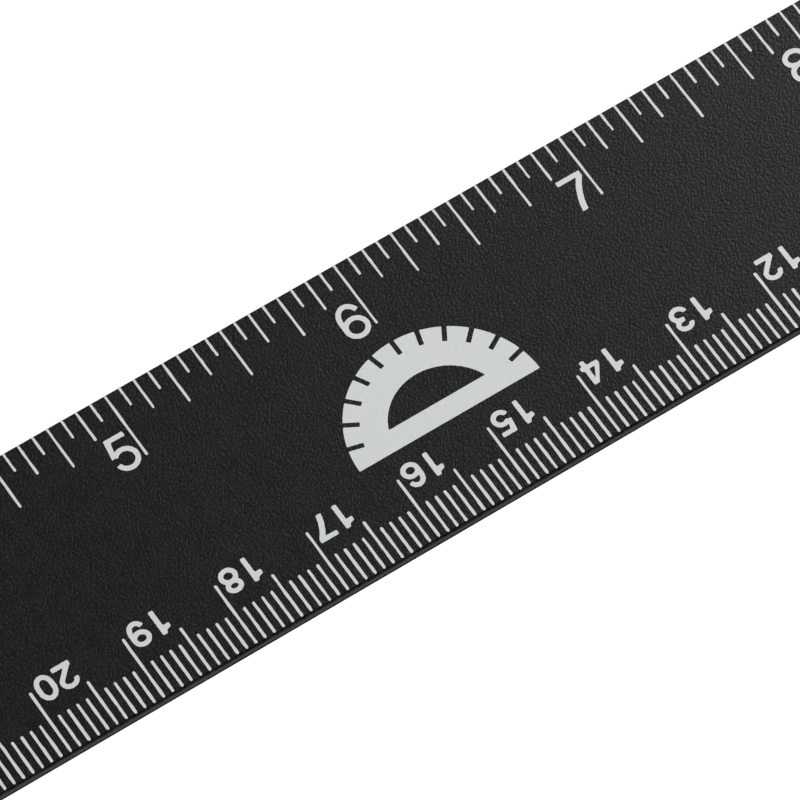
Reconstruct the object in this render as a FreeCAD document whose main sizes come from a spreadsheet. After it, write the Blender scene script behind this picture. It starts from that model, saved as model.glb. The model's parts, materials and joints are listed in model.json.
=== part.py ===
"""Twelve-inch cork-backed steel ruler, printed in inches along one edge and in centimetres along the other.

Frame: millimetres, +Z up. The origin is the middle of the underside of the cork. +X runs along the blade,
from the inch scale's zero end to the centimetre scale's zero end, and +Y points at the inch edge.
"""
import FreeCAD, Part

import math
import os

import Sketcher

V = FreeCAD.Vector
FAILED = ("Invalid", "Error")

SIZES = {
    # Coated steel blade. Both ends of the blade are the zeros of a scale.
    "blade_length": 304.8,
    "blade_width": 30.0,
    "blade_thickness": 0.9,
    "blade_corner": 1.5,
    "edge_rounding": 0.3,
    "hang_hole_radius": 3.0,
    "hang_hole_inset": 10.0,
    # Cork strip and the adhesive film that holds it on.
    "cork_thickness": 1.0,
    "film_thickness": 0.1,
    "backing_inset": 4.0,
    "backing_corner": 1.0,
    "backing_hole_radius": 5.0,
    # Printed ink, and the lengths of the tick marks.
    "ink_thickness": 0.03,
    "inch_tick_width": 0.24,
    "centimetre_tick_width": 0.28,
    "inch": 25.4,
    "sixteenth_tick": 2.33,
    "eighth_tick": 3.73,
    "quarter_tick": 4.99,
    "half_tick": 5.85,
    "inch_tick": 7.61,
    "centimetre": 10.0,
    "millimetre_tick": 3.78,
    "five_millimetre_tick": 5.2,
    "centimetre_tick": 7.12,
    "centimetre_margin": 0.26,
    "last_centimetre": 30,
    # Numerals: size of one digit, pen width, and clearance from the edge and from the tick.
    "inch_digit_height": 4.01,
    "inch_digit_width": 2.63,
    "inch_digit_gap": 0.4,
    "inch_digit_pen": 0.52,
    "inch_digit_drop": 8.18,
    "inch_digit_side": 0.47,
    "centimetre_digit_height": 2.78,
    "centimetre_digit_width": 1.9,
    "centimetre_digit_gap": 0.28,
    "centimetre_digit_pen": 0.49,
    "centimetre_digit_drop": 8.41,
    "centimetre_digit_side": 0.59,
    # Protractor emblem in the middle of the blade.
    "emblem_radius": 10.0,
    "emblem_band": 4.2,
    "emblem_bar": 2.2,
    "emblem_notch_width": 0.5,
    "emblem_notch_depth": 1.6,
    "emblem_notch_angle": 75.0,
    "emblem_notch_count": 6,
}

EDGE_WRAP = 60.0    # degrees of the edge rounding that an inch tick's ink runs over
ONE_BEARING = 0.08  # left margin of the digit 1 in its cell, as a share of the digit's height


def make_sheet(doc):
    """Write the driving dimensions to a spreadsheet, one alias to a row."""
    sheet = doc.addObject("Spreadsheet::Sheet", "sizes")
    for row, (alias, value) in enumerate(SIZES.items(), start=1):
        sheet.set(f"A{row}", alias)
        sheet.set(f"B{row}", str(value))
        sheet.setAlias(f"B{row}", alias)
    doc.recompute()
    return sheet


def plane(body, role):
    """Return one of the body's own origin planes or axes."""
    return next(feature for feature in body.Origin.OriginFeatures if feature.Role == role)


def new_body(doc, name, height):
    """Start a body whose origin lies at a height that an expression gives."""
    body = doc.addObject("PartDesign::Body", name)
    body.Label = name
    body.setExpression("Placement.Base.z", height)
    return body


def new_sketch(body, name):
    """Start a sketch on the body's XY plane."""
    sketch = body.newObject("Sketcher::SketchObject", name)
    sketch.AttachmentSupport = [(plane(body, "XY_Plane"), "")]
    sketch.MapMode = "FlatFace"
    return sketch


def bind(sketch, index, name, expression):
    """Name a dimension of a sketch and drive it from the sheet."""
    sketch.renameConstraint(index, name)
    sketch.setExpression(f"Constraints.{name}", expression)


def closed_lines(sketch, corners):
    """Add lines round the corners, joined end to end, and return the first line's number."""
    first = sketch.GeometryCount
    count = len(corners)
    for start, end in zip(corners, corners[1:] + corners[:1]):
        sketch.addGeometry(Part.LineSegment(V(*start, 0), V(*end, 0)))
    for i in range(count):
        sketch.addConstraint(Sketcher.Constraint("Coincident", first + i, 2, first + (i + 1) % count, 1))
    return first


def draw_rectangle(sketch, length, width):
    """Draw a rectangle centred on the sketch's origin, its two sizes given as expressions."""
    first = closed_lines(sketch, [(-1, -1), (1, -1), (1, 1), (-1, 1)])
    for side, kind in enumerate(("Horizontal", "Vertical", "Horizontal", "Vertical")):
        sketch.addConstraint(Sketcher.Constraint(kind, first + side))
    sketch.addConstraint(Sketcher.Constraint("Symmetric", first, 1, first + 2, 1, -1, 1))
    bind(sketch, sketch.addConstraint(Sketcher.Constraint("DistanceX", first, 1, first, 2, 2)), "length", length)
    bind(sketch, sketch.addConstraint(Sketcher.Constraint("DistanceY", first + 1, 1, first + 1, 2, 2)), "width", width)


def draw_hole(sketch, radius):
    """Draw the hanging hole's circle on the sketch's X axis."""
    circle = sketch.addGeometry(Part.Circle(V(10, 0, 0), V(0, 0, 1), 1))
    sketch.addConstraint(Sketcher.Constraint("PointOnObject", circle, 3, -1))
    bind(sketch, sketch.addConstraint(Sketcher.Constraint("DistanceX", -1, 1, circle, 3, 10)),
         "hole_place", "sizes.blade_length / 2 - sizes.hang_hole_inset")
    bind(sketch, sketch.addConstraint(Sketcher.Constraint("Radius", circle, 1)), "hole_radius", radius)


def edges_where(shape, test):
    """Name the edges of a shape that pass a test."""
    return [f"Edge{number}" for number, edge in enumerate(shape.Edges, start=1) if test(edge)]


def is_upright(edge):
    """Say whether an edge is a straight one that runs along Z."""
    box = edge.BoundBox
    return edge.Curve.TypeId == "Part::GeomLine" and box.ZLength > box.XLength + box.YLength


def is_level(edge):
    """Say whether an edge lies in one level plane."""
    return edge.BoundBox.ZLength < 1e-6


def round_edges(body, base, name, test, radius):
    """Round the edges of the base feature that pass a test."""
    fillet = body.newObject("PartDesign::Fillet", name)
    fillet.Base = (base, edges_where(base.Shape, test))
    fillet.setExpression("Radius", radius)
    body.Document.recompute()
    return fillet


def make_plate(doc, name, height, length, width, thickness, corner, hole_radius):
    """Make a plate with rounded corners and the hanging hole through it."""
    body = new_body(doc, name, height)
    outline = new_sketch(body, f"{name}_outline")
    draw_rectangle(outline, length, width)
    pad = body.newObject("PartDesign::Pad", f"{name}_pad")
    pad.Profile = outline
    pad.setExpression("Length", thickness)
    doc.recompute()
    corners = round_edges(body, pad, f"{name}_corners", is_upright, corner)
    before = corners.Shape.Volume
    hole = new_sketch(body, f"{name}_hole")
    draw_hole(hole, hole_radius)
    pocket = body.newObject("PartDesign::Pocket", f"{name}_pocket")
    pocket.Profile = hole
    pocket.Type = "ThroughAll"
    pocket.Midplane = True
    doc.recompute()
    if pocket.Shape.Volume >= before:
        raise RuntimeError(f"the hole in {name} cuts nothing")
    return body


def make_blade(doc):
    """Make the steel blade with its coat: a thin plate with softly rounded edges."""
    body = make_plate(doc, "steel_blade", "sizes.cork_thickness + sizes.film_thickness", "sizes.blade_length",
                      "sizes.blade_width", "sizes.blade_thickness", "sizes.blade_corner", "sizes.hang_hole_radius")
    round_edges(body, body.Tip, "steel_blade_edges", is_level, "sizes.edge_rounding")
    return body


def make_backing(doc, name, height, thickness):
    """Make a layer of the backing, set in from the blade's edges, with a hole wider than the blade's."""
    inset = " - 2 * sizes.backing_inset"
    return make_plate(doc, name, height, "sizes.blade_length" + inset, "sizes.blade_width" + inset,
                      thickness, "sizes.backing_corner", "sizes.backing_hole_radius")


def draw_half_disc(sketch, radius, floor, prefix):
    """Draw a half disc above a level line: an arc about the origin, closed by the line."""
    arc = sketch.addGeometry(Part.ArcOfCircle(Part.Circle(V(0, 0, 0), V(0, 0, 1), 5), 0.2, math.pi - 0.2))
    line = sketch.addGeometry(Part.LineSegment(V(-4, 1, 0), V(4, 1, 0)))
    sketch.addConstraint(Sketcher.Constraint("Coincident", arc, 3, -1, 1))
    sketch.addConstraint(Sketcher.Constraint("Coincident", arc, 2, line, 1))
    sketch.addConstraint(Sketcher.Constraint("Coincident", arc, 1, line, 2))
    bind(sketch, sketch.addConstraint(Sketcher.Constraint("Radius", arc, 5)), f"{prefix}_radius", radius)
    if floor:
        sketch.addConstraint(Sketcher.Constraint("Horizontal", line))
        bind(sketch, sketch.addConstraint(Sketcher.Constraint("DistanceY", -1, 1, line, 1, 1)),
             f"{prefix}_floor", floor)
    else:
        sketch.addConstraint(Sketcher.Constraint("PointOnObject", line, 1, -1))
        sketch.addConstraint(Sketcher.Constraint("PointOnObject", line, 2, -1))


def draw_notch(sketch):
    """Draw the notch at the top of the protractor's rim."""
    first = closed_lines(sketch, [(-1, 8), (1, 8), (1, 11), (-1, 11)])
    for side, kind in enumerate(("Vertical", "Horizontal", "Vertical"), start=1):
        sketch.addConstraint(Sketcher.Constraint(kind, first + side))
    sketch.addConstraint(Sketcher.Constraint("Symmetric", first, 1, first, 2, -2))
    bind(sketch, sketch.addConstraint(Sketcher.Constraint("DistanceX", first, 1, first, 2, 2)),
         "notch_width", "sizes.emblem_notch_width")
    bind(sketch, sketch.addConstraint(Sketcher.Constraint("DistanceY", -1, 1, first, 1, 8)),
         "notch_foot", "sizes.emblem_radius - sizes.emblem_notch_depth")
    bind(sketch, sketch.addConstraint(Sketcher.Constraint("DistanceY", -1, 1, first + 2, 1, 11)),
         "notch_top", "sizes.emblem_radius + sizes.emblem_notch_depth")


def make_emblem(doc, height):
    """Make the printed protractor: a half ring on a bar, with notches round its rim."""
    body = new_body(doc, "centre_emblem", height)
    body.setExpression("Placement.Base.y", "-sizes.emblem_radius / 2")
    outline = new_sketch(body, "emblem_outline")
    draw_half_disc(outline, "sizes.emblem_radius", None, "rim")
    draw_half_disc(outline, "sizes.emblem_radius - sizes.emblem_band", "sizes.emblem_bar", "window")
    pad = body.newObject("PartDesign::Pad", "emblem_pad")
    pad.Profile = outline
    pad.setExpression("Length", "sizes.ink_thickness")
    notch = new_sketch(body, "emblem_notch")
    draw_notch(notch)
    pocket = body.newObject("PartDesign::Pocket", "emblem_pocket")
    pocket.Profile = notch
    pocket.Type = "ThroughAll"
    pocket.Midplane = True
    doc.recompute()
    for name, backwards in (("emblem_left_notches", False), ("emblem_right_notches", True)):
        before = body.Shape.Volume
        pattern = body.newObject("PartDesign::PolarPattern", name)
        pattern.Originals = [pocket]
        pattern.Axis = (plane(body, "Z_Axis"), [""])
        pattern.Reversed = backwards
        pattern.setExpression("Angle", "sizes.emblem_notch_angle")
        pattern.setExpression("Occurrences", "sizes.emblem_notch_count")
        body.Tip = pattern
        doc.recompute()
        if body.Shape.Volume >= before:
            raise RuntimeError(f"{name} cuts nothing")
    return body


def ellipse_edge(centre_x, centre_y, radius_x, radius_y, start, end):
    """Make an arc of an upright ellipse, its ends given in degrees."""
    centre = V(centre_x, centre_y, 0)
    if radius_x >= radius_y:
        curve, turn = Part.Ellipse(centre, radius_x, radius_y), 0
    else:
        crown, flank = V(centre_x, centre_y + radius_y, 0), V(centre_x - radius_x, centre_y, 0)
        curve, turn = Part.Ellipse(crown, flank, centre), 90
    return Part.ArcOfEllipse(curve, math.radians(start - turn), math.radians(end - turn)).toShape()


def band(centre_x, centre_y, radius_x, radius_y, pen, start=0, end=360):
    """Make a curved stroke: the band of a pen's width along an ellipse, from one angle to another."""
    centre = (centre_x, centre_y)
    outer = ellipse_edge(*centre, radius_x + pen / 2, radius_y + pen / 2, start, end)
    inner = ellipse_edge(*centre, radius_x - pen / 2, radius_y - pen / 2, start, end)
    if end - start >= 360:
        return Part.Face(Part.Wire(outer)).cut(Part.Face(Part.Wire(inner))).Faces[0]
    first = Part.makeLine(inner.Vertexes[0].Point, outer.Vertexes[0].Point)
    last = Part.makeLine(outer.Vertexes[-1].Point, inner.Vertexes[-1].Point)
    return Part.Face(Part.Wire(Part.__sortEdges__([outer, last, inner, first])))


def patch(*points):
    """Make a straight-sided stroke from its corners."""
    return Part.Face(Part.makePolygon([V(x, y, 0) for x, y in points + points[:1]]))


def block(left, right, low, high):
    """Make an upright rectangular stroke."""
    return patch((left, low), (right, low), (right, high), (left, high))


def strokes_of_zero(wide, tall, pen):
    """Two half ovals joined by straight sides."""
    middle, reach, rise = wide / 2, (wide - pen) / 2, 0.08 * tall
    crown = (tall - pen) / 2 - rise
    return [band(middle, tall / 2 + rise, reach, crown, pen, 0, 180),
            band(middle, tall / 2 - rise, reach, crown, pen, 180, 360),
            block(0, pen, tall / 2 - rise, tall / 2 + rise),
            block(wide - pen, wide, tall / 2 - rise, tall / 2 + rise)]


def strokes_of_one(wide, tall, pen):
    """A stem and a short flag."""
    right = 0.40 * tall
    left = right - pen
    flag = [(0, 0.83 * tall - pen), (right - pen / 2, 0.86 * tall - pen), (right - pen / 2, tall),
            (right - 0.8 * pen, tall), (right - 1.25 * pen, 0.88 * tall), (0, 0.83 * tall)]
    return [block(left, right, 0, tall), patch(*flag)]


def strokes_of_two(wide, tall, pen):
    """A hook, a slanting stroke and a foot."""
    middle, reach, centre = wide / 2, (wide - pen) / 2, 0.70 * tall
    crown = tall - pen / 2 - centre
    turn = math.radians(-38)
    away = V(math.cos(turn), math.sin(turn), 0)
    joint = V(middle + reach * away.x, centre + crown * away.y, 0)
    foot = V(0.52 * pen, 0.62 * pen, 0)
    across = away * (pen / 2)
    slant = [joint + across, foot + across, foot - across, joint - across]
    return [band(middle, centre, reach, crown, pen, -38, 188), block(0, wide, 0, pen),
            patch(*[(point.x, point.y) for point in slant])]


def strokes_of_three(wide, tall, pen):
    """Two open bowls that share a short bar."""
    middle, reach, waist = wide / 2, (wide - pen) / 2, 0.53 * tall
    upper, lower = (tall - pen / 2 - waist) / 2, (waist - pen / 2) / 2
    return [band(middle, waist + upper, 0.93 * reach, upper, pen, -90, 178),
            band(middle, waist - lower, reach, lower, pen, -178, 90),
            block(0.36 * wide, middle, waist - pen / 2, waist + pen / 2)]


def strokes_of_four(wide, tall, pen):
    """A stem, a bar across it and a slanting stroke."""
    right = 0.86 * wide
    left = right - pen
    low = 0.20 * tall
    high = low + 0.95 * pen
    slant = [(0, high), (1.05 * pen, high), (left, 0.78 * tall), (left + 0.1 * pen, tall), (left - 0.1 * pen, tall)]
    return [block(left, right, 0, tall), block(0, wide, low, high), patch(*slant)]


def strokes_of_five(wide, tall, pen):
    """A flat top, a leaning stem and an open bowl."""
    middle, reach, bowl = wide / 2, (wide - pen) / 2, 0.655 * tall / 2
    stem = [(0.14 * wide, tall), (0.02 * wide, 0.46 * tall), (0.02 * wide + 0.9 * pen, 0.47 * tall),
            (0.16 * wide + pen, tall - pen / 2)]
    return [band(middle, bowl, reach, bowl - pen / 2, pen, -166, 147),
            block(0.14 * wide, 0.93 * wide, tall - pen, tall), patch(*stem)]


def strokes_of_six(wide, tall, pen):
    """A closed bowl under a tall open hook."""
    middle, reach, bowl = wide / 2, (wide - pen) / 2, 0.63 * tall / 2
    shoulder = 0.60 * tall
    return [band(middle, bowl, reach, bowl - pen / 2, pen),
            band(middle, shoulder, reach, tall - pen / 2 - shoulder, pen, 22, 180),
            block(0, pen, bowl, shoulder)]


def strokes_of_seven(wide, tall, pen):
    """A flat top and a curved leg, trimmed square at its foot."""
    foot, knee, hip = V(0.205 * tall, 0, 0), V(0.385 * tall, 0.556 * tall, 0), V(0.572 * tall, 0.85 * tall, 0)
    curve = Part.Circle(foot, knee, hip)
    leg = band(curve.Center.x, curve.Center.y, curve.Radius, curve.Radius, 1.12 * pen, 120, 200)
    return [block(0, wide, tall - pen, tall), leg.common(block(0, wide, 0, tall - pen / 2))]


def strokes_of_eight(wide, tall, pen):
    """Two closed bowls, the upper one smaller."""
    middle, reach, waist = wide / 2, (wide - pen) / 2, 0.545 * tall
    upper, lower = (tall - pen / 2 - waist) / 2, (waist - pen / 2) / 2
    return [band(middle, waist + upper, 0.9 * reach, upper, pen), band(middle, waist - lower, reach, lower, pen)]


def strokes_of_nine(wide, tall, pen):
    """The six, turned upside down."""
    turned = [stroke.copy() for stroke in strokes_of_six(wide, tall, pen)]
    for stroke in turned:
        stroke.rotate(V(wide / 2, tall / 2, 0), V(0, 0, 1), 180)
    return turned


STROKES = [strokes_of_zero, strokes_of_one, strokes_of_two, strokes_of_three, strokes_of_four,
           strokes_of_five, strokes_of_six, strokes_of_seven, strokes_of_eight, strokes_of_nine]


def make_digits(wide, tall, pen, ink):
    """Make the ten digits once, each as one flat solid with its lower left corner at the origin."""
    digits = []
    for strokes in STROKES:
        first, *others = [face.extrude(V(0, 0, ink)) for face in strokes(wide, tall, pen)]
        digits.append(first.fuse(others).removeSplitter().Solids[0])
    return digits


def write_number(number, digits, wide, tall, gap):
    """Set out a number's digits in equal cells, leftwards from the origin, on the line Y = 0."""
    placed = []
    for place, digit in enumerate(reversed(str(number))):
        left = -(place + 1) * wide - place * gap
        bearing = ONE_BEARING * tall if digit == "1" else 0
        placed.append(digits[int(digit)].translated(V(left + bearing, 0, 0)))
    return placed


def make_numerals(sheet, scale, count, pitch):
    """Make a scale's numerals, on their own edge at +Y, with the scale's zero at the -X end of the blade."""
    wide, tall, gap = (sheet.get(f"{scale}_digit_{size}") for size in ("width", "height", "gap"))
    digits = make_digits(wide, tall, sheet.get(f"{scale}_digit_pen"), sheet.ink_thickness)
    baseline = sheet.blade_width / 2 - sheet.get(f"{scale}_digit_drop")
    solids = []
    for number in range(1, count + 1):
        right = number * pitch - sheet.blade_length / 2 - sheet.get(f"{scale}_digit_side")
        placed = write_number(number, digits, wide, tall, gap)
        solids += [digit.translated(V(right, baseline, 0)) for digit in placed]
    return Part.makeCompound(solids)


def flat_tick(width, inner, outer, ink):
    """Make a tick that lies wholly on the flat of the blade, from one Y to another."""
    return Part.makeBox(width, outer - inner, ink, V(-width / 2, inner, 0))


def wrapped_tick(width, inner, edge, rounding, ink, wrap):
    """Make a tick that runs on from the flat over part of the edge rounding."""
    bend = edge - rounding
    tilt, half = math.radians(wrap), math.radians(wrap / 2)

    def on_bend(radius, angle):
        return V(0, bend + radius * math.sin(angle), radius * math.cos(angle) - rounding)

    outside = rounding + ink
    under = Part.Arc(on_bend(rounding, 0), on_bend(rounding, half), on_bend(rounding, tilt)).toShape()
    over = Part.Arc(on_bend(outside, tilt), on_bend(outside, half), on_bend(outside, 0)).toShape()
    outline = [Part.makeLine(V(0, inner, 0), on_bend(rounding, 0)), under,
               Part.makeLine(on_bend(rounding, tilt), on_bend(outside, tilt)), over,
               Part.makeLine(on_bend(outside, 0), V(0, inner, ink)), Part.makeLine(V(0, inner, ink), V(0, inner, 0))]
    tick = Part.Face(Part.Wire(outline)).extrude(V(width, 0, 0))
    return tick.translated(V(-width / 2, 0, 0))


def corner_loss(sheet, place, width):
    """Give how far the rounded corner draws the edge in beside a tick, at a distance along the blade."""
    radius = sheet.blade_corner
    from_end = min(place, sheet.blade_length - place) - width / 2
    if from_end >= radius:
        return 0.0
    return radius - math.sqrt(radius ** 2 - (radius - from_end) ** 2)


def make_ticks(sheet, width, count, pitch, length_of, wrap):
    """Make a scale's ticks, on an edge at +Y, with the scale's zero at the -X end of the blade."""
    rounding, ink = sheet.edge_rounding, sheet.ink_thickness
    edge = sheet.blade_width / 2
    ticks = []
    for number in range(1, count + 1):
        place = number * pitch
        loss = corner_loss(sheet, place, width)
        inner = edge - length_of(number)
        if loss > 0:
            tick = flat_tick(width, inner, edge - loss - rounding, ink)
        else:
            tick = wrapped_tick(width, inner, edge, rounding, ink, wrap)
        ticks.append(tick.translated(V(place - sheet.blade_length / 2, 0, 0)))
    return Part.makeCompound(ticks)


def inch_tick_length(sheet, sixteenths):
    """Give a tick's length on the inch scale, the longer the coarser its division."""
    ladder = [(16, sheet.inch_tick), (8, sheet.half_tick), (4, sheet.quarter_tick), (2, sheet.eighth_tick)]
    return next((length for step, length in ladder if sixteenths % step == 0), sheet.sixteenth_tick)


def centimetre_tick_length(sheet, millimetres):
    """Give a tick's length on the centimetre scale, measured from the edge."""
    ladder = [(10, sheet.centimetre_tick), (5, sheet.five_millimetre_tick)]
    drawn = next((length for step, length in ladder if millimetres % step == 0), sheet.millimetre_tick)
    return drawn + sheet.centimetre_margin


def add_ink(doc, name, shape, height, turned):
    """Add a printed layer at a height. A turned one serves the opposite edge and is read from there."""
    feature = doc.addObject("Part::Feature", name)
    feature.Label = name
    feature.Shape = shape
    feature.Placement = FreeCAD.Placement(V(0, 0, height), FreeCAD.Rotation(V(0, 0, 1), 180 if turned else 0))
    return feature


def make_scales(doc, sheet, height):
    """Make the ticks and the numerals of both scales."""
    inches = round(sheet.blade_length / sheet.inch)
    centimetres = round(sheet.last_centimetre)
    margin = sheet.edge_rounding - sheet.centimetre_margin
    centimetre_wrap = math.degrees(math.asin(margin / sheet.edge_rounding))
    return [
        add_ink(doc, "inch_graduations",
                make_ticks(sheet, sheet.inch_tick_width, 16 * inches - 1, sheet.inch / 16,
                           lambda n: inch_tick_length(sheet, n), EDGE_WRAP),
                height, turned=False),
        add_ink(doc, "inch_numerals", make_numerals(sheet, "inch", inches, sheet.inch), height, turned=False),
        add_ink(doc, "centimetre_graduations",
                make_ticks(sheet, sheet.centimetre_tick_width, 10 * centimetres, sheet.centimetre / 10,
                           lambda n: centimetre_tick_length(sheet, n), centimetre_wrap),
                height, turned=True),
        add_ink(doc, "centimetre_numerals", make_numerals(sheet, "centimetre", centimetres, sheet.centimetre),
                height, turned=True),
    ]


def check(doc, subparts):
    """Stop if any object failed, or if a sub-part's shape is empty or broken."""
    for item in doc.Objects:
        if any(state in FAILED for state in item.State):
            raise RuntimeError(f"{item.Label} failed: {item.State}")
    for item in subparts:
        if item.Shape.isNull() or not item.Shape.isValid():
            raise RuntimeError(f"{item.Label} has no valid shape")
        print(f"{item.Label}: {len(item.Shape.Solids)} solids, {item.Shape.Volume:.2f} cubic millimetres")


def main():
    """Build every sub-part, check them and write one STEP file for each."""
    os.makedirs("parts", exist_ok=True)
    doc = FreeCAD.newDocument("ruler")
    sheet = make_sheet(doc)
    cork = make_backing(doc, "cork_backing", "0 * sizes.cork_thickness", "sizes.cork_thickness")
    film = make_backing(doc, "adhesive_film", "sizes.cork_thickness", "sizes.film_thickness")
    blade = make_blade(doc)
    face_height = sheet.cork_thickness + sheet.film_thickness + sheet.blade_thickness
    emblem = make_emblem(doc, "sizes.cork_thickness + sizes.film_thickness + sizes.blade_thickness")
    subparts = [cork, film, blade, emblem, *make_scales(doc, sheet, face_height)]
    doc.recompute()
    check(doc, subparts)
    for item in subparts:
        item.Shape.exportStep(f"parts/{item.Label}.step")


main()
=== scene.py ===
"""A twelve-inch steel ruler with a black powder coat, printed scales on both edges and a cork backing."""
import json
import logging
import math
from dataclasses import dataclass
from enum import Enum
from typing import Iterable, Sequence

import bmesh
import bpy
from mathutils import Matrix, Vector, noise


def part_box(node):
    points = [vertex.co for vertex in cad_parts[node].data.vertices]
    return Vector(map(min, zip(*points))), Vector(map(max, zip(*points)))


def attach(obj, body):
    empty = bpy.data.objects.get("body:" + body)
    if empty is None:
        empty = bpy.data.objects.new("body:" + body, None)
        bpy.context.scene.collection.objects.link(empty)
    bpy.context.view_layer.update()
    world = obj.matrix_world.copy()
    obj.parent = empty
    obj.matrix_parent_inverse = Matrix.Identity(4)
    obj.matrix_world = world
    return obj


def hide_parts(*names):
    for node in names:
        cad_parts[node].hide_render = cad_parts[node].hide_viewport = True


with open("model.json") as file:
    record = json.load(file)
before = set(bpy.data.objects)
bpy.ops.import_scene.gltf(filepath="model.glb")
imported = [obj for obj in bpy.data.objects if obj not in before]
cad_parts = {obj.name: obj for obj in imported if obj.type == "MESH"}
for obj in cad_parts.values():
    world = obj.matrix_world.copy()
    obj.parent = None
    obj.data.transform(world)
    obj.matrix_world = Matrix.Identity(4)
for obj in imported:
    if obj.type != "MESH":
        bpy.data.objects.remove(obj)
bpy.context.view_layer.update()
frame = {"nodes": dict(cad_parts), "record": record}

log = logging.getLogger("ruler")

MM = 0.001
INCH = 25.4 * MM
SMALLEST_CORNER = 0.05 * MM
NOISE_SEED = 12
ROOT = "root"
Colour = tuple[float, float, float, float]
Span = tuple[float, float]


# ---------------------------------------------------------------- node trees


class Link:
    """One output socket, on which Python's operators write Math nodes."""

    def __init__(self, nodes: "Nodes", socket: bpy.types.NodeSocket) -> None:
        """Wrap a socket of a tree."""
        self.nodes = nodes
        self.socket = socket

    def math(self, operation: str, *others: "Link | float") -> "Link":
        """Add a Math node with this link as its first value.

        Args:
            operation: The Math node's operation.
            others: Its further values.

        Returns:
            The node's result.
        """
        values = dict(enumerate((self, *others)))
        return self.nodes.out("ShaderNodeMath", {"operation": operation}, values)

    def __add__(self, other: "Link | float") -> "Link":
        """Write self + other."""
        return self.math("ADD", other)

    def __radd__(self, other: float) -> "Link":
        """Write other + self."""
        return self.math("ADD", other)

    def __sub__(self, other: "Link | float") -> "Link":
        """Write self - other."""
        return self.math("SUBTRACT", other)

    def __rsub__(self, other: float) -> "Link":
        """Write other - self."""
        return self.nodes.out("ShaderNodeMath", {"operation": "SUBTRACT"}, {0: other, 1: self})

    def __mul__(self, other: "Link | float") -> "Link":
        """Write self * other."""
        return self.math("MULTIPLY", other)

    def __rmul__(self, other: float) -> "Link":
        """Write other * self."""
        return self.math("MULTIPLY", other)

    def __truediv__(self, other: "Link | float") -> "Link":
        """Write self / other."""
        return self.math("DIVIDE", other)

    def __mod__(self, other: "Link | float") -> "Link":
        """Write self % other."""
        return self.math("MODULO", other)

    def __pow__(self, other: "Link | float") -> "Link":
        """Write self ** other."""
        return self.math("POWER", other)

    def __lt__(self, other: "Link | float") -> "Link":
        """Write self < other as 1 or 0."""
        return self.math("LESS_THAN", other)

    def __gt__(self, other: "Link | float") -> "Link":
        """Write self > other as 1 or 0."""
        return self.math("GREATER_THAN", other)

    def least(self, other: "Link | float") -> "Link":
        """Give the smaller of the two."""
        return self.math("MINIMUM", other)

    def most(self, other: "Link | float") -> "Link":
        """Give the larger of the two."""
        return self.math("MAXIMUM", other)

    def clamped(self) -> "Link":
        """Keep the value between 0 and 1."""
        return self.most(0.0).least(1.0)

    def swing(self) -> "Link":
        """Stretch a value of 0 to 1 to the range from -1 to 1."""
        return (self - 0.5) * 2.0

    def where(self, mask: "Link", other: "Link | float") -> "Link":
        """Give other where the mask is 1, and this value where it is 0."""
        return self + mask * (other - self)


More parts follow.
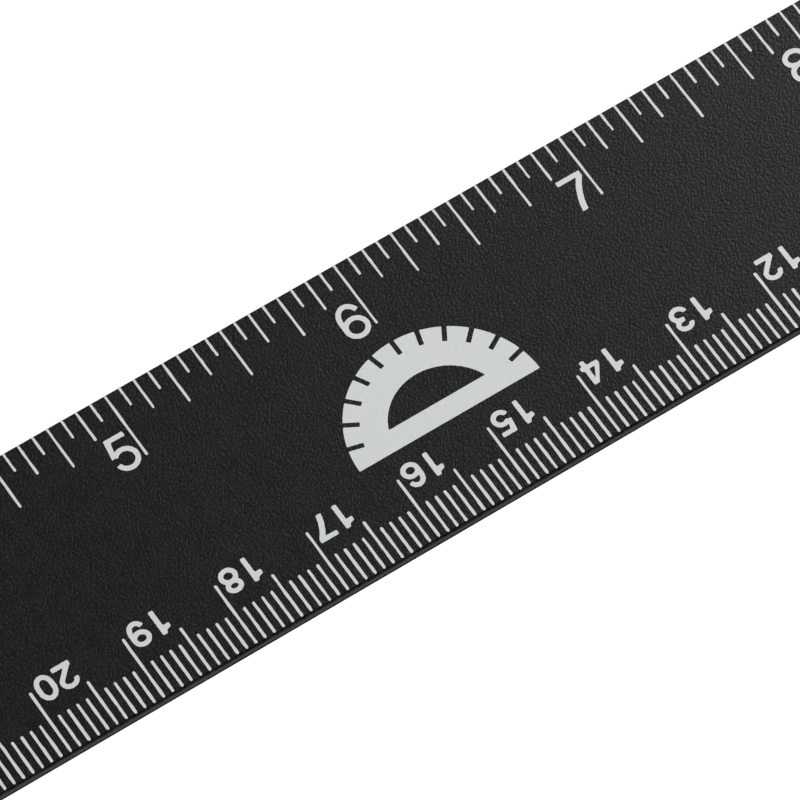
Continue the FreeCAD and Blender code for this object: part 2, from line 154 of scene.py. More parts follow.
class Nodes:
    """A shader or geometry tree, with one way to add any node."""

    def __init__(self, tree: bpy.types.NodeTree) -> None:
        """Wrap a tree."""
        self.tree = tree

    def add(self, kind: str, settings: dict | None = None, values: dict | None = None) -> bpy.types.Node:
        """Add a node.

        Args:
            kind: The node's type.
            settings: Its own properties, set before its sockets.
            values: Values or links of its sockets, by name or by number.

        Returns:
            The new node.
        """
        node = self.tree.nodes.new(kind)
        for name, value in (settings or {}).items():
            setattr(node, name, value)
        for key, value in (values or {}).items():
            self.feed(node.inputs[key], value)
        return node

    def feed(self, socket: bpy.types.NodeSocket, value: "Link | float | Colour") -> None:
        """Link a socket, or set its own value.

        Args:
            socket: The input socket.
            value: A link to it, or what it holds.
        """
        if isinstance(value, Link):
            self.tree.links.new(value.socket, socket)
        else:
            socket.default_value = value

    def out(self, kind: str, settings: dict | None = None, values: dict | None = None,
            output: int | str = 0) -> Link:
        """Add a node as add does, and return one of its outputs."""
        return Link(self, self.add(kind, settings, values).outputs[output])

    def vector(self, **axes: "Link | float") -> Link:
        """Join values into a vector, by the name of their axis."""
        return self.out("ShaderNodeCombineXYZ", {}, axes)

    def parts(self, vector: Link) -> list[Link]:
        """Split a vector into its three parts."""
        axes = self.add("ShaderNodeSeparateXYZ", {}, {0: vector})
        return [Link(self, socket) for socket in axes.outputs]

    def noise(self, place: Link, grain: float, detail: float = 2.0, roughness: float = 0.5) -> Link:
        """Add a noise texture whose features are about grain metres wide."""
        values = {"Vector": place, "Scale": 1 / grain, "Detail": detail, "Roughness": roughness}
        return self.out("ShaderNodeTexNoise", {}, values, "Fac")

    def drift(self, place: Link, grain: float, detail: float) -> Link:
        """Add a noise texture that gives a vector with parts of 0 to 1."""
        values = {"Vector": place, "Scale": 1 / grain, "Detail": detail}
        return self.out("ShaderNodeTexNoise", {}, values, "Color")

    def cells(self, place: Link, size: float, output: str, feature: str = "F1") -> Link:
        """Add a Voronoi texture whose cells are about size metres wide."""
        values = {"Vector": place, "Scale": 1 / size}
        return self.out("ShaderNodeTexVoronoi", {"feature": feature}, values, output)

    def ramp(self, factor: Link, zone: Span, result: Span = (0.0, 1.0)) -> Link:
        """Map a value from a zone to a result, and hold it at the result's ends outside that zone."""
        values = {"Value": factor, "From Min": zone[0], "From Max": zone[1], "To Min": result[0],
                  "To Max": result[1]}
        return self.out("ShaderNodeMapRange", {"clamp": True}, values)

    def mix(self, factor: Link, first: "Link | Colour", second: "Link | Colour") -> Link:
        """Mix two colours."""
        return self.out("ShaderNodeMix", {"data_type": "RGBA"}, {"Factor": factor, 6: first, 7: second}, 2)

    def bump(self, height: Link, depth: float) -> Link:
        """Turn a height of 0 to 1 into a normal, with depth in metres."""
        return self.out("ShaderNodeBump", {}, {"Height": height, "Distance": depth, "Strength": 1.0})


class Shader(Nodes):
    """A material's tree, with its Principled shader and the piece's own coordinates."""

    def __init__(self, name: str) -> None:
        """Make a material and its shader.

        Args:
            name: The material's name.
        """
        self.material = bpy.data.materials.new(name)
        self.material.use_nodes = True
        super().__init__(self.material.node_tree)
        self.tree.nodes.clear()
        self.place = self.out("ShaderNodeTexCoord", output="Object")
        self.principled = self.add("ShaderNodeBsdfPrincipled")
        surface = Link(self, self.principled.outputs[0])
        self.add("ShaderNodeOutputMaterial", {}, {"Surface": surface})

    def dress(self, **values: "Link | float | Colour") -> bpy.types.Material:
        """Set the shader's sockets.

        Args:
            values: Values or links by the socket's name, with an underscore for each space.

        Returns:
            The finished material.
        """
        for name, value in values.items():
            self.feed(self.principled.inputs[name.replace("_", " ")], value)
        return self.material


def opaque(red: float, green: float, blue: float) -> Colour:
    """Give an opaque colour from its linear parts."""
    return (red, green, blue, 1.0)


# ---------------------------------------------------------------- finishes


@dataclass(frozen=True)
class PowderCoat:
    """Matt black powder coat: finely pebbled on the faces, sleek over the bends and dry on the cut edges."""

    dark: Colour = opaque(0.0016, 0.0017, 0.0017)
    light: Colour = opaque(0.0096, 0.0098, 0.0104)
    tone_zone: Span = (0.40, 0.64)
    roughness: Span = (0.44, 0.50)
    roughness_zone: Span = (0.3, 0.7)
    bend_roughness: float = 0.30
    bend_zone: Span = (0.22 * MM, 0.30 * MM)
    wall_roughness: float = 0.66
    wall_zone: Span = (0.020 * MM, 0.055 * MM)
    shine: float = 0.4
    pebble: float = 0.18 * MM
    stretch: float = 1.7
    lay: float = math.radians(26)
    swell: float = 1.4 * MM
    swell_share: float = 0.07
    relief: float = 0.047 * MM

    def inset(self, shader: Shader) -> Link:
        """Measure how far a point lies in from the blade's nearest edge.

        Args:
            shader: The tree to measure in.

        Returns:
            The distance in metres.
        """
        _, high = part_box("steel_blade")
        along, across, _ = shader.parts(shader.place)
        return (high.x - along.math("ABSOLUTE")).least(high.y - across.math("ABSOLUTE"))

    def material(self) -> bpy.types.Material:
        """Build the coat's material.

        Returns:
            The material.
        """
        shader = Shader("powder_coat")
        drawn_out = {"Vector": shader.place, "Rotation": (0, 0, self.lay), "Scale": (self.stretch, 1, 1)}
        along_lay = shader.out("ShaderNodeMapping", {"vector_type": "TEXTURE"}, drawn_out)
        pebbles = shader.noise(along_lay, self.pebble, detail=0.0)
        swells = shader.noise(shader.place, self.swell, detail=1.0)
        tone = pebbles * (1 - self.swell_share) + swells * self.swell_share
        colour = shader.mix(shader.ramp(tone, self.tone_zone), self.dark, self.light)
        inset = self.inset(shader)
        on_bend, on_wall = (1.0 - shader.ramp(inset, zone) for zone in (self.bend_zone, self.wall_zone))
        roughness = shader.ramp(swells, self.roughness_zone, self.roughness)
        roughness = roughness.where(on_bend, self.bend_roughness).where(on_wall, self.wall_roughness)
        return shader.dress(Base_Color=colour, Roughness=roughness, Specular_IOR_Level=self.shine,
                            Normal=shader.bump(pebbles, self.relief))


@dataclass(frozen=True)
class PrintingInk:
    """Opaque off-white screen ink, which follows the pebbled coat under it."""

    bright: Colour = opaque(0.730, 0.770, 0.780)
    thin: Colour = opaque(0.688, 0.726, 0.735)
    cover_zone: Span = (0.34, 0.52)
    roughness: Span = (0.5, 0.62)
    roughness_zone: Span = (0.3, 0.7)
    shine: float = 0.3
    pebble: float = 0.34 * MM
    relief: float = 0.006 * MM

    def material(self) -> bpy.types.Material:
        """Build the ink's material.

        Returns:
            The material.
        """
        shader = Shader("printing_ink")
        pebbles = shader.noise(shader.place, self.pebble, detail=3.0, roughness=0.6)
        colour = shader.mix(shader.ramp(pebbles, self.cover_zone), self.thin, self.bright)
        roughness = shader.ramp(pebbles, self.roughness_zone, self.roughness)
        return shader.dress(Base_Color=colour, Roughness=roughness, Specular_IOR_Level=self.shine,
                            Normal=shader.bump(pebbles, self.relief))


@dataclass(frozen=True)
class CompositionCork:
    """Pressed cork granules in a dark binder."""

    light: Colour = opaque(0.56, 0.36, 0.19)
    dark: Colour = opaque(0.30, 0.165, 0.075)
    binder: Colour = opaque(0.21, 0.115, 0.055)
    fleck: Colour = opaque(0.10, 0.050, 0.024)
    tone_zone: Span = (0.2, 0.9)
    fleck_zone: Span = (0.90, 0.94)
    seam_zone: Span = (0.0, 0.07)
    roughness: Span = (0.78, 0.95)
    roughness_zone: Span = (0.2, 0.8)
    shine: float = 0.3
    granule: float = 1.1 * MM
    granule_tone: float = 0.7
    drift: float = 0.9 * MM
    drift_grain: float = 0.7 * MM
    pore: float = 0.25 * MM
    pore_tone: float = 0.4
    pore_height: float = 0.4
    relief: float = 0.06 * MM

    def material(self) -> bpy.types.Material:
        """Build the cork's material.

        Returns:
            The material.
        """
        shader = Shader("composition_cork")
        swirl = shader.drift(shader.place, self.drift_grain, detail=2.0)
        place = shader.out("ShaderNodeVectorMath", {"operation": "MULTIPLY_ADD"},
                           {0: swirl, 1: (self.drift, self.drift, self.drift), 2: shader.place})
        tint = shader.cells(place, self.granule, "Color")
        shade = shader.out("ShaderNodeSeparateColor", {}, {"Color": tint}, "Red")
        rim = shader.cells(place, self.granule, "Distance", "DISTANCE_TO_EDGE")
        pores = shader.noise(shader.place, self.pore, detail=3.0, roughness=0.7)
        tone = shader.ramp(shade * self.granule_tone + pores * self.pore_tone, self.tone_zone)
        body = shader.mix(tone, self.dark, self.light)
        body = shader.mix(shader.ramp(shade, self.fleck_zone), body, self.fleck)
        seam = shader.ramp(rim, self.seam_zone)
        colour = shader.mix(seam, self.binder, body)
        roughness = shader.ramp(pores, self.roughness_zone, self.roughness)
        height = seam * (1 - self.pore_height) + pores * self.pore_height
        return shader.dress(Base_Color=colour, Roughness=roughness, Specular_IOR_Level=self.shine,
                            Normal=shader.bump(height, self.relief))


@dataclass(frozen=True)
class AdhesiveFilm:
    """Amber transfer adhesive, seen only as a thin line at its edge."""

    clear: Colour = opaque(0.60, 0.50, 0.33)
    aged: Colour = opaque(0.42, 0.32, 0.18)
    tone_zone: Span = (0.35, 0.65)
    roughness: Span = (0.25, 0.4)
    roughness_zone: Span = (0.3, 0.7)
    streak: float = 2.5 * MM
    relief: float = 0.01 * MM

    def material(self) -> bpy.types.Material:
        """Build the film's material.

        Returns:
            The material.
        """
        shader = Shader("adhesive_film")
        streaks = shader.noise(shader.place, self.streak, detail=3.0)
        colour = shader.mix(shader.ramp(streaks, self.tone_zone), self.clear, self.aged)
        roughness = shader.ramp(streaks, self.roughness_zone, self.roughness)
        return shader.dress(Base_Color=colour, Roughness=roughness, Normal=shader.bump(streaks, self.relief))

    def dress_node(self) -> None:
        """Give the film's CAD node this finish, in place of the one it came with."""
        film = frame["nodes"]["adhesive_film"]
        film.data.materials.clear()
        film.data.materials.append(self.material())
        log.info("adhesive_film: the CAD node, with its own finish")


@dataclass(frozen=True)
class PalePaper:
    """The floor: plain white paper, lit from behind enough to lose its shadows."""

    white: Colour = opaque(0.24, 0.24, 0.24)
    glow_colour: Colour = opaque(1.0, 1.0, 1.0)
    glow: float = 0.92
    roughness: float = 0.9

    def material(self) -> bpy.types.Material:
        """Build the floor's material."""
        shader = Shader("pale_paper")
        return shader.dress(Base_Color=self.white, Roughness=self.roughness, Specular_IOR_Level=0.0,
                            Emission_Color=self.glow_colour, Emission_Strength=self.glow)


@dataclass(frozen=True)
class PaintedGapShade:
    """A near-black sheet under the ruler: painted shade that stands for the shadow in the narrow gap under the
    blade.
    """

    # Painted shade: this near-black colour stands for the shadow in the gap under the blade.
    black: Colour = opaque(0.004, 0.004, 0.004)

    def material(self) -> bpy.types.Material:
        """Build the material of the painted shade sheet."""
        return Shader("painted_gap_shade").dress(Base_Color=self.black, Roughness=1.0, Specular_IOR_Level=0.0)


# ---------------------------------------------------------------- mesh helpers


def object_from(bm: bmesh.types.BMesh, name: str, material: bpy.types.Material,
                smooth: bool) -> bpy.types.Object:
    """Turn a finished bmesh into an object at the origin.

    Args:
        bm: The mesh, which is freed.
        name: The piece's name.
        material: Its material.
        smooth: Whether its faces are shaded smooth.

    Returns:
        The new object, linked to the scene.
    """
    mesh = bpy.data.meshes.new(name)
    bm.to_mesh(mesh)
    bm.free()
    mesh.materials.append(material)
    if smooth:
        mesh.shade_smooth()
    else:
        mesh.shade_flat()
    piece = bpy.data.objects.new(name, mesh)
    bpy.context.scene.collection.objects.link(piece)
    return piece


def settle(piece: bpy.types.Object, node: str) -> None:
    """Let a piece ride on the one body and stand for its CAD node.

    Args:
        piece: The finished piece.
        node: The CAD node that it replaces.
    """
    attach(piece, ROOT)
    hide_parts(node)
    triangles = sum(len(face.vertices) - 2 for face in piece.data.polygons)
    log.info("%s: %d triangles, in place of %s", piece.name, triangles, node)


@dataclass(frozen=True)
class Hole:
    """A round hole along Z."""

    centre: Vector
    radius: float


def hang_hole() -> Hole:
    """Read the hanging hole from the record's mounts."""
    mount = next(item for item in frame["record"]["mounts"] if item["name"] == "hang_hole")
    return Hole(Vector(mount["pos_m"]), mount["dims"]["r_mm"] * MM)


def rounded_loop(low: Vector, high: Vector, inset: float, corner: float, steps: int) -> list[Vector]:
    """Set out a rectangle with round corners, drawn in from a box by an inset.

    Args:
        low: The box's lowest corner.
        high: Its highest corner.
        inset: How far the outline lies inside the box.
        corner: The corner radius of the outline that has no inset.
        steps: Segments round each corner.

    Returns:
        The points, anticlockwise, with no height.
    """
    radius = max(corner - inset, SMALLEST_CORNER)
    points = []
    for quarter, (side_x, side_y) in enumerate(((1, 1), (-1, 1), (-1, -1), (1, -1))):
        centre_x = (high.x if side_x > 0 else low.x) - side_x * (inset + radius)
        centre_y = (high.y if side_y > 0 else low.y) - side_y * (inset + radius)
        for step in range(steps + 1):
            turn = math.radians(90 * (quarter + step / steps))
            x = centre_x + radius * math.cos(turn)
            y = centre_y + radius * math.sin(turn)
            points.append(Vector((x, y, 0)))
    return points


def round_loop(hole: Hole, radius: float, steps: int) -> list[Vector]:
    """Set out a circle about a hole's axis, with no height."""
    turns = (2 * math.pi * step / steps for step in range(steps))
    return [Vector((hole.centre.x + radius * math.cos(turn), hole.centre.y + radius * math.sin(turn), 0))
            for turn in turns]


def lift(points: Iterable[Vector], height: float) -> list[Vector]:
    """Put points at a height."""
    return [Vector((point.x, point.y, height)) for point in points]


def stack(bm: bmesh.types.BMesh, loops: Sequence[Sequence[Vector]]) -> tuple[list, list]:
    """Join closed loops of equal count by bands of faces.

    Args:
        bm: The mesh to add to.
        loops: The loops, from the first to the last.

    Returns:
        The first loop's edges and the last loop's edges.
    """
    rows = [[bm.verts.new(point) for point in loop] for loop in loops]
    for upper, lower in zip(rows, rows[1:]):
        for i in range(len(upper)):
            j = (i + 1) % len(upper)
            bm.faces.new((upper[i], upper[j], lower[j], lower[i]))
    ends = (rows[0], rows[-1])
    first, last = ([bm.edges.get(pair) for pair in zip(row, row[1:] + row[:1])] for row in ends)
    return first, last


def close_ends(bm: bmesh.types.BMesh, outside: tuple[list, list], inside: tuple[list, list]) -> None:
    """Fill the flat faces between an outer wall and a hole's wall, and turn all faces outwards.

    Args:
        bm: The mesh to close.
        outside: The edges at both ends of the outer wall.
        inside: The edges at both ends of the hole's wall.
    """
    for outer, inner in zip(outside, inside):
        bmesh.ops.triangle_fill(bm, use_beauty=True, use_dissolve=False, edges=[*outer, *inner])
    bmesh.ops.recalc_face_normals(bm, faces=bm.faces[:])


# ---------------------------------------------------------------- pieces


@dataclass
class SteelBlade:
    """The coated steel blade: a flat strip with softly rounded edges and a hanging hole."""

    coat: bpy.types.Material
    corner: float = 1.5 * MM
    rounding: float = 0.30 * MM
    bend_steps: int = 8
    corner_steps: int = 16
    hole_steps: int = 96
    flat_margin: float = 0.3 * MM

    def profile(self, low: float, high: float) -> list[tuple[float, float]]:
        """Set out the wall's section, from the top face to the underside.

        Args:
            low: The underside's height.
            high: The top face's height.

        Returns:
            Pairs of an inset from the edge and a height.
        """
        bends = [math.radians(90 * step / self.bend_steps) for step in range(self.bend_steps + 1)]
        upper = [(self.rounding * (1 - math.sin(a)), high - self.rounding * (1 - math.cos(a))) for a in bends]
        lower = [(inset, low + high - height) for inset, height in reversed(upper)]
        flat = self.rounding + self.flat_margin
        return [(flat, high), *upper, *lower, (flat, low)]

    def build(self) -> None:
        """Build the blade in place of its CAD node."""
        low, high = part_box("steel_blade")
        hole = hang_hole()
        section = self.profile(low.z, high.z)
        bm = bmesh.new()
        outside = stack(bm, [lift(rounded_loop(low, high, inset, self.corner, self.corner_steps), height)
                             for inset, height in section])
        inside = stack(bm, [lift(round_loop(hole, hole.radius + inset, self.hole_steps), height)
                            for inset, height in section])
        close_ends(bm, outside, inside)
        settle(object_from(bm, "blade", self.coat, smooth=True), "steel_blade")


@dataclass
class CorkBacking:
    """The cork strip: cut edges that crumble a little, granule by granule."""

    cork: bpy.types.Material
    corner: float = 1.0 * MM
    corner_steps: int = 6
    hole_radius: float = 5.0 * MM
    hole_steps: int = 96
    spacing: float = 0.35 * MM
    crumble: float = 0.10 * MM
    granule: float = 0.9 * MM
    rows: int = 5
    margin: float = 0.3 * MM

    def crumbled(self, point: Vector) -> Vector:
        """Move a point of the cut edge by a little noise, and none up or down."""
        shift = noise.noise_vector(point / self.granule) * self.crumble
        return Vector((point.x + shift.x, point.y + shift.y, point.z))

    def spaced(self, edge: list[Vector], flat: list[Vector]) -> tuple[list[Vector], list[Vector]]:
        """Add points along the long stretches of the edge's loop, and as many along its partner's.

        Args:
            edge: The cut edge's loop.
            flat: Its partner in the flat of the cork.

        Returns:
            Both loops with their new points.
        """
        denser: tuple[list[Vector], list[Vector]] = ([], [])
        for i, start in enumerate(edge):
            following = (i + 1) % len(edge)
            pieces = max(1, math.ceil((edge[following] - start).length / self.spacing))
            for loop, points in zip((edge, flat), denser):
                points += [loop[i].lerp(loop[following], step / pieces) for step in range(pieces)]
        return denser

    def wall(self, bm: bmesh.types.BMesh, edge: list[Vector], flat: list[Vector], low: float,
             high: float) -> tuple[list, list]:
        """Stack a cut wall between two heights.

        Args:
            bm: The mesh to add to.
            edge: The cut edge's loop.
            flat: The loop a margin away in the flat of the cork.
            low: The lower height.
            high: The upper height.

        Returns:
            The top and bottom loops' edges.
        """
        edge, flat = self.spaced(edge, flat)
        heights = [high + (low - high) * row / (self.rows - 1) for row in range(self.rows)]
        rows = [[self.crumbled(point) for point in lift(edge, height)] for height in heights]
        return stack(bm, [lift(flat, high), *rows, lift(flat, low)])

    def build(self) -> None:
        """Build the cork in place of its CAD node."""
        low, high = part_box("cork_backing")
        hole = hang_hole()
        bm = bmesh.new()
        insets = (self.crumble, self.margin)
        outline = (rounded_loop(low, high, inset, self.corner, self.corner_steps) for inset in insets)
        outside = self.wall(bm, *outline, low.z, high.z)
        opening = (round_loop(hole, self.hole_radius + inset, self.hole_steps) for inset in insets)
        inside = self.wall(bm, *opening, low.z, high.z)
        close_ends(bm, outside, inside)
        settle(object_from(bm, "cork_strip", self.cork, smooth=False), "cork_backing")


class Side(Enum):
    """Which long edge a scale runs along, given as the turn that brings it there."""

    INCH = 0.0
    CENTIMETRE = math.pi


@dataclass(frozen=True)
class TickStep:
    """Every so many divisions, the tick has this length."""

    every: int
    length: float


@dataclass
class Scale:
    """A printed scale's ticks, laid flat and then wrapped over the edge rounding.

    The wrap is the angle of the rounding that the ticks' outer ends reach, in radians. A tick's rows crowd
    towards that end, which keeps the ink on the bend.
    """

    node: str
    name: str
    side: Side
    ink: bpy.types.Material
    blade: SteelBlade
    pitch: float
    count: int
    width: float
    shortest: float
    ladder: tuple[TickStep, ...]
    wrap: float
    thickness: float = 0.03 * MM
    rows: int = 14
    cap_rows: int = 2
    cap_tip: float = 0.45
    crowding: float = 1.6
    ragged: float = 0.060 * MM
    ragged_grain: float = 0.22 * MM
    uneven: float = 0.30
    uneven_grain: float = 1.6 * MM

    def sizes(self) -> dict[str, float]:
        """Work out every size that the tree takes as an input.

        Returns:
            The sizes by the inputs' names.
        """
        _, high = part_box("steel_blade")
        sizes = {
            "Pitch": self.pitch, "Tick width": self.width, "Ink thickness": self.thickness,
            "Half length": high.x, "Edge": high.y, "Face height": high.z, "Corner": self.blade.corner,
            "Edge rounding": self.blade.rounding, "Wrap": self.blade.rounding * self.wrap,
            "Shortest tick": self.shortest, "Ragged": self.ragged, "Uneven": self.uneven,
            "Turn": self.side.value,
        }
        return sizes | {f"Tick at every {step.every}": step.length for step in self.ladder}

    def tree(self, sizes: Iterable[str]) -> bpy.types.NodeTree:
        """Build the geometry tree that prints the ticks.

        Args:
            sizes: The names of the tree's sizes.

        Returns:
            The tree.
        """
        tree = bpy.data.node_groups.new(f"{self.name}_printer", "GeometryNodeTree")
        tree.interface.new_socket("Geometry", in_out="OUTPUT", socket_type="NodeSocketGeometry")
        tree.interface.new_socket("Ticks", in_out="INPUT", socket_type="NodeSocketInt")
        for name in sizes:
            tree.interface.new_socket(name, in_out="INPUT", socket_type="NodeSocketFloat")
        tree.interface.new_socket("Ink", in_out="INPUT", socket_type="NodeSocketMaterial")
        nodes = Nodes(tree)
        given = nodes.add("NodeGroupInput")
        size = {name: Link(nodes, given.outputs[name]) for name in ("Ticks", *sizes, "Ink")}
        printed = self.drawn(nodes, size, self.unit_ticks(nodes, size))
        turned = nodes.out("GeometryNodeTransform", {},
                           {"Geometry": printed, "Rotation": nodes.vector(Z=size["Turn"])})
        inked = nodes.out("GeometryNodeSetMaterial", {}, {"Geometry": turned, "Material": size["Ink"]})
        nodes.add("NodeGroupOutput", {}, {"Geometry": inked})
        return tree

    def unit_ticks(self, nodes: Nodes, size: dict[str, Link]) -> Link:
        """Put one unit block on each division, with its place and both ends of its tick kept beside it.

        Args:
            nodes: The tree.
            size: The tree's inputs by name.

        Returns:
            The blocks' mesh.
        """
        number = nodes.out("GeometryNodeInputIndex") + 1.0
        length = size["Shortest tick"]
        for step in self.ladder:
            length = length.where((number % float(step.every)) < 0.5, size[f"Tick at every {step.every}"])
        place = number * size["Pitch"] - size["Half length"]
        from_end = size["Half length"] - place.math("ABSOLUTE") - size["Tick width"] * 0.5
        short = (size["Corner"] - from_end).most(0.0)
        loss = size["Corner"] - (size["Corner"] * size["Corner"] - short * short).math("SQRT")
        bend = size["Edge"] - size["Edge rounding"]
        outer = (bend + size["Wrap"]).where(short > 0.0, bend - loss)
        line = nodes.out("GeometryNodeMeshLine", {}, {"Count": size["Ticks"]})
        points = self.store(nodes, line, "tick", nodes.vector(X=place, Y=size["Edge"] - length, Z=outer))
        block = nodes.out("GeometryNodeMeshCube", {}, {"Size": (1.0, 1.0, 1.0), "Vertices Y": self.rows})
        unit = self.store(nodes, block, "unit", nodes.out("GeometryNodeInputPosition"))
        ticks = nodes.out("GeometryNodeInstanceOnPoints", {}, {"Points": points, "Instance": unit})
        return nodes.out("GeometryNodeRealizeInstances", {}, {"Geometry": ticks})

    def store(self, nodes: Nodes, geometry: Link, name: str, value: Link) -> Link:
        """Keep a vector on every point."""
        return nodes.out("GeometryNodeStoreNamedAttribute", {"data_type": "FLOAT_VECTOR"},
                         {"Geometry": geometry, "Name": name, "Value": value})

    def kept(self, nodes: Nodes, name: str) -> list[Link]:
        """Read a kept vector's three parts."""
        vector = nodes.out("GeometryNodeInputNamedAttribute", {"data_type": "FLOAT_VECTOR"}, {"Name": name})
        return nodes.parts(vector)

    def flat(self, nodes: Nodes, size: dict[str, Link]) -> tuple[Link, Link]:
        """Lay the ticks out flat, with round ends and uneven sides.

        Args:
            nodes: The tree.
            size: The tree's inputs by name.

        Returns:
            Each point's place along the scale, and its distance from the ruler's middle line.
        """
        place, inner, outer = self.kept(nodes, "tick")
        across, row, _ = self.kept(nodes, "unit")
        last = float(self.rows - 1)
        step = (row + 0.5) * last
        start, end = ((count / self.cap_rows).least(1.0) for count in (step, last - step))
        middle = ((step - self.cap_rows) / (last - 2 * self.cap_rows)).clamped()
        crowded = 1.0 - (1.0 - middle) ** self.crowding
        cap = size["Tick width"] * 0.5
        along = inner + cap * start * start - cap * end * end + cap + crowded * (outer - inner - cap * 2.0)
        nearest = start.least(end)
        narrow = (1.0 - (1.0 - nearest * nearest) ** 2.0).math("SQRT").most(self.cap_tip)
        width_noise = nodes.noise(nodes.vector(X=place, Y=along), self.uneven_grain, detail=0.0)
        fuller = width_noise.swing() * size["Uneven"] + 1.0
        return place + across * size["Tick width"] * narrow * fuller, along

    def drawn(self, nodes: Nodes, size: dict[str, Link], blocks: Link) -> Link:
        """Shape each block as a tick with ragged sides, bent over the edge rounding.

        Args:
            nodes: The tree.
            size: The tree's inputs by name.
            blocks: The unit blocks.

        Returns:
            The ticks' mesh.
        """
        x, along = self.flat(nodes, size)
        drift = nodes.drift(nodes.vector(X=x, Y=along), self.ragged_grain, detail=1.0)
        aside, onward = (part.swing() * size["Ragged"] for part in nodes.parts(drift)[:2])
        _, _, level = self.kept(nodes, "unit")
        rounding = size["Edge rounding"]
        bend = size["Edge"] - rounding
        reach = along + onward
        angle = (reach - bend).most(0.0) / rounding
        arm = rounding + (level + 0.5) * size["Ink thickness"]
        place_on_blade = nodes.vector(X=x + aside, Y=reach.least(bend) + arm * angle.math("SINE"),
                                      Z=arm * angle.math("COSINE") - rounding + size["Face height"])
        shaped = nodes.out("GeometryNodeSetPosition", {}, {"Geometry": blocks, "Position": place_on_blade})
        for name in ("tick", "unit"):
            shaped = nodes.out("GeometryNodeRemoveAttribute", {}, {"Geometry": shaped, "Name": name})
        return shaped

    def build(self) -> None:
        """Print the ticks in place of their CAD node."""
        sizes = self.sizes()
        tree = self.tree(sizes)
        holder = bpy.data.objects.new(f"{self.name}_holder", bpy.data.meshes.new(f"{self.name}_holder"))
        bpy.context.scene.collection.objects.link(holder)
        printer = holder.modifiers.new("printer", "NODES")
        printer.node_group = tree
        wanted = {"Ticks": self.count, "Ink": self.ink, **sizes}
        for item in tree.interface.items_tree:
            if item.in_out == "INPUT":
                printer[item.identifier] = wanted[item.name]
        graph = bpy.context.evaluated_depsgraph_get()
        mesh = bpy.data.meshes.new_from_object(holder.evaluated_get(graph))
        bpy.data.objects.remove(holder)
        mesh.name = self.name
        piece = bpy.data.objects.new(self.name, mesh)
        bpy.context.scene.collection.objects.link(piece)
        settle(piece, self.node)


@dataclass
class PrintedShapes:
    """Printed numerals or an emblem: the CAD outline, with an edge as uneven as the coat under it."""

    node: str
    name: str
    ink: bpy.types.Material
    ragged: float
    soft_passes: int
    spacing: float = 0.09 * MM
    ragged_grain: float = 0.17 * MM
    merge: float = 0.0001 * MM

    def outlines(self) -> list[list[Vector]]:
        """Find the closed outlines of the CAD node's top faces.

        Returns:
            One list of level points for each outline.
        """
        bm = bmesh.new()
        bm.from_mesh(frame["nodes"][self.node].data)
        bmesh.ops.remove_doubles(bm, verts=bm.verts, dist=self.merge)
        following = {}
        for edge in bm.edges:
            top = [loop for loop in edge.link_loops if loop.face.normal.z > 0.5]
            if len(top) == 1:
                following[top[0].vert] = top[0].link_loop_next.vert
        found = []
        while following:
            start, vertex = following.popitem()
            points = [start.co.copy()]
            while vertex is not start:
                points.append(vertex.co.copy())
                vertex = following.pop(vertex)
            found.append(points)
        bm.free()
        return found

    def divided(self, points: list[Vector]) -> list[Vector]:
        """Divide an outline's long stretches.

        Args:
            points: The outline.

        Returns:
            The outline with its new points.
        """
        finer = []
        for start, end in zip(points, points[1:] + points[:1]):
            pieces = max(1, math.ceil((end - start).length / self.spacing))
            finer += [start.lerp(end, step / pieces) for step in range(pieces)]
        return finer

    def softened(self, points: list[Vector]) -> list[Vector]:
        """Round an outline's corners a little, as ink does when it draws together.

        Args:
            points: The outline.

        Returns:
            The softer outline.
        """
        for _ in range(self.soft_passes):
            before, after = points[-1:] + points[:-1], points[1:] + points[:1]
            points = [point / 2 + (near + far) / 4 for near, point, far in zip(before, points, after)]
        return points

    def roughened(self, points: list[Vector]) -> list[Vector]:
        """Shift every point of an outline within its own level.

        Args:
            points: The outline.

        Returns:
            The rougher outline.
        """
        rough = []
        for point in points:
            shift = noise.noise_vector(point / self.ragged_grain) * self.ragged
            rough.append(Vector((point.x + shift.x, point.y + shift.y, point.z)))
        return rough

    def build(self) -> None:
        """Print the shapes in place of their CAD node."""
        low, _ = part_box(self.node)
        bm = bmesh.new()
        tops: list[bmesh.types.BMEdge] = []
        feet: list[bmesh.types.BMEdge] = []
        for outline in self.outlines():
            points = self.roughened(self.softened(self.divided(outline)))
            top, foot = stack(bm, [points, lift(points, low.z)])
            tops += top
            feet += foot
        close_ends(bm, (tops, feet), ([], []))
        settle(object_from(bm, self.name, self.ink, smooth=False), self.node)


# ---------------------------------------------------------------- studio


@dataclass(frozen=True)
class SoftLight:
    """A square soft light that faces the middle of the ruler, with its power in watts."""

    name: str
    place: Vector
    side: float
    power: float
    colour: tuple[float, float, float]

    def hang(self) -> None:
        """Hang the light in its place."""
        light = bpy.data.lights.new(self.name, "AREA")
        light.shape = "SQUARE"
        light.size = self.side
        light.energy = self.power
        light.color = self.colour
        lamp = bpy.data.objects.new(self.name, light)
        lamp.location = self.place
        lamp.rotation_euler = (-self.place).to_track_quat("-Z", "Y").to_euler()
        bpy.context.scene.collection.objects.link(lamp)


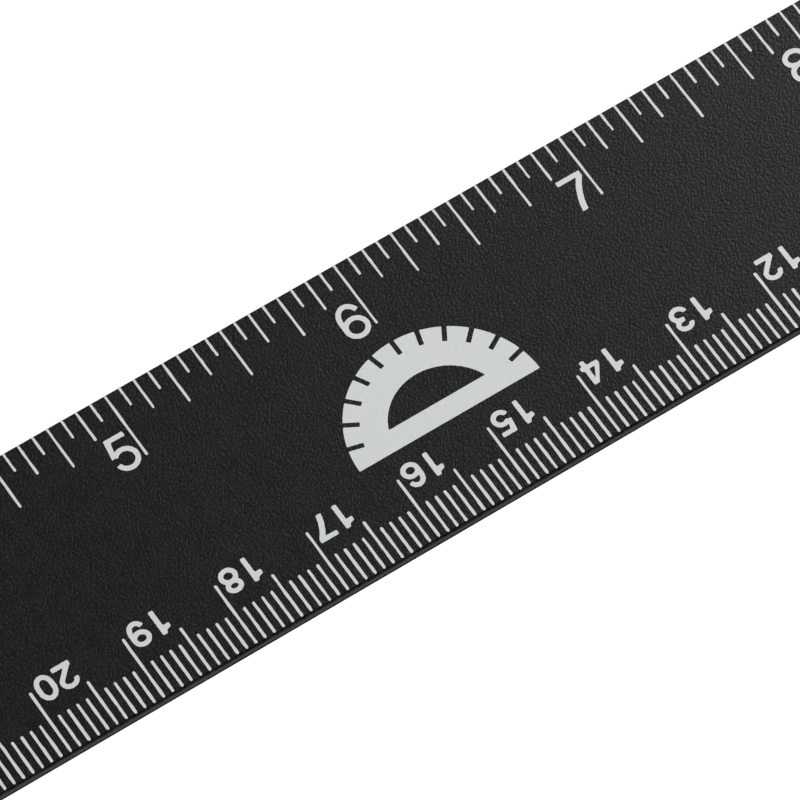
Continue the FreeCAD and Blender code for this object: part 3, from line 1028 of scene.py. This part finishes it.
@dataclass
class Studio:
    """A pale floor, soft lights and the camera, with the camera's angles in degrees."""

    floor_size: float = 6.0
    floor_drop: float = 0.02 * MM
    # Size and place of the sheet of painted shadow under the blade.
    shadow_sheet_inset: float = 0.465 * MM
    shadow_sheet_drop: float = 0.01 * MM
    shadow_sheet_corner: float = 1.5 * MM
    shadow_sheet_corner_steps: int = 8
    target: Vector = Vector((-0.0027335, -0.0006689, 0.0020))
    distance: float = 0.72316
    azimuth: float = -32.183
    elevation: float = 60.633
    roll: float = -1.234
    lens: float = 350.295
    nearest: float = 0.05
    farthest: float = 20.0
    sky: float = 0.06
    sky_colour: Colour = opaque(1.0, 1.0, 1.0)
    far_left: SoftLight = SoftLight("far_left", Vector((-2.3, -0.8, 1.6)), side=2.0, power=88.0,
                                    colour=(1.0, 1.0, 1.0))
    back_right: SoftLight = SoftLight("back_right", Vector((0.40, 0.20, 0.26)), side=0.3, power=1.66,
                                      colour=(1.0, 1.0, 0.91))

    def lay(self, name: str, outline: list[Vector], height: float, material: bpy.types.Material) -> None:
        """Lay a level sheet that isn't part of the object.

        Args:
            name: The sheet's name.
            outline: Its corners, with no height.
            height: Where it lies.
            material: Its material.
        """
        bm = bmesh.new()
        bm.faces.new([bm.verts.new(point) for point in lift(outline, height)])
        object_from(bm, name, material, smooth=False)

    def build_floor(self) -> None:
        """Lay the floor just under the cork, and a black sheet of painted shadow under the blade that keeps the
        gap under the blade dark.
        """
        half = self.floor_size / 2
        corners = [Vector((x * half, y * half, 0)) for x, y in ((-1, -1), (1, -1), (1, 1), (-1, 1))]
        self.lay("floor", corners, -self.floor_drop, PalePaper().material())
        # Painted shadow: a near-black sheet just inside the blade's outline stands for the shade in the gap; it
        # has no hole, so it also shows black through the hanging hole.
        outline = rounded_loop(*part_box("steel_blade"), self.shadow_sheet_inset, self.shadow_sheet_corner, self.shadow_sheet_corner_steps)
        self.lay("shadow_sheet_under_blade", outline, -self.shadow_sheet_drop, PaintedGapShade().material())

    def build_lights(self) -> None:
        """Light the ruler evenly from the left, with a small warm softbox beyond its right end."""
        self.far_left.hang()
        self.back_right.hang()
        world = bpy.data.worlds.new("studio")
        world.use_nodes = True
        background = world.node_tree.nodes["Background"]
        background.inputs["Color"].default_value = self.sky_colour
        background.inputs["Strength"].default_value = self.sky
        bpy.context.scene.world = world

    def build_camera(self) -> None:
        """Place the camera by its distance and direction from the target."""
        azimuth, elevation = math.radians(self.azimuth), math.radians(self.elevation)
        back = Vector((math.sin(azimuth) * math.cos(elevation), -math.cos(azimuth) * math.cos(elevation),
                       math.sin(elevation)))
        data = bpy.data.cameras.new("camera")
        data.lens = self.lens
        data.clip_start = self.nearest
        data.clip_end = self.farthest
        camera = bpy.data.objects.new("camera", data)
        level = (-back).to_track_quat("-Z", "Y").to_matrix().to_4x4()
        camera.matrix_world = (Matrix.Translation(self.target + back * self.distance) @ level
                               @ Matrix.Rotation(math.radians(self.roll), 4, "Z"))
        bpy.context.scene.collection.objects.link(camera)
        bpy.context.scene.camera = camera

    def build(self) -> None:
        """Set up the studio."""
        self.build_floor()
        self.build_lights()
        self.build_camera()
        bpy.context.scene.view_settings.view_transform = "Standard"


# ---------------------------------------------------------------- the ruler


def inch_scale(ink: bpy.types.Material, blade: SteelBlade) -> Scale:
    """Set out the inch scale, in sixteenths, whose ticks run out over the edge."""
    ladder = (TickStep(2, 3.73 * MM), TickStep(4, 4.99 * MM), TickStep(8, 5.85 * MM), TickStep(16, 7.61 * MM))
    return Scale("inch_graduations", "inch_ticks", Side.INCH, ink, blade, pitch=INCH / 16, count=191,
                 width=0.24 * MM, shortest=2.33 * MM, ladder=ladder, wrap=math.radians(60.0))


def centimetre_scale(ink: bpy.types.Material, blade: SteelBlade) -> Scale:
    """Set out the centimetre scale, in millimetres, whose ticks stop just short of the edge.

    Args:
        ink: The ink's material.
        blade: The blade that the scale is printed on.

    Returns:
        The scale.
    """
    margin = 0.26 * MM
    ladder = (TickStep(5, 5.20 * MM + margin), TickStep(10, 7.12 * MM + margin))
    return Scale("centimetre_graduations", "centimetre_ticks", Side.CENTIMETRE, ink, blade, pitch=1.0 * MM,
                 count=300, width=0.28 * MM, shortest=3.78 * MM + margin, ladder=ladder,
                 wrap=math.asin(1 - margin / blade.rounding))


def main() -> None:
    """Build the studio and every piece of the ruler."""
    logging.basicConfig(level=logging.INFO, format="%(name)s: %(message)s")
    noise.seed_set(NOISE_SEED)
    Studio().build()
    ink = PrintingInk().material()
    blade = SteelBlade(PowderCoat().material())
    blade.build()
    CorkBacking(CompositionCork().material()).build()
    AdhesiveFilm().dress_node()
    inch_scale(ink, blade).build()
    centimetre_scale(ink, blade).build()
    PrintedShapes("inch_numerals", "inch_digits", ink, ragged=0.030 * MM, soft_passes=1).build()
    PrintedShapes("centimetre_numerals", "centimetre_digits", ink, ragged=0.030 * MM, soft_passes=3).build()
    PrintedShapes("centre_emblem", "protractor_emblem", ink, ragged=0.012 * MM, soft_passes=1).build()


if __name__ == "__main__":
    main()
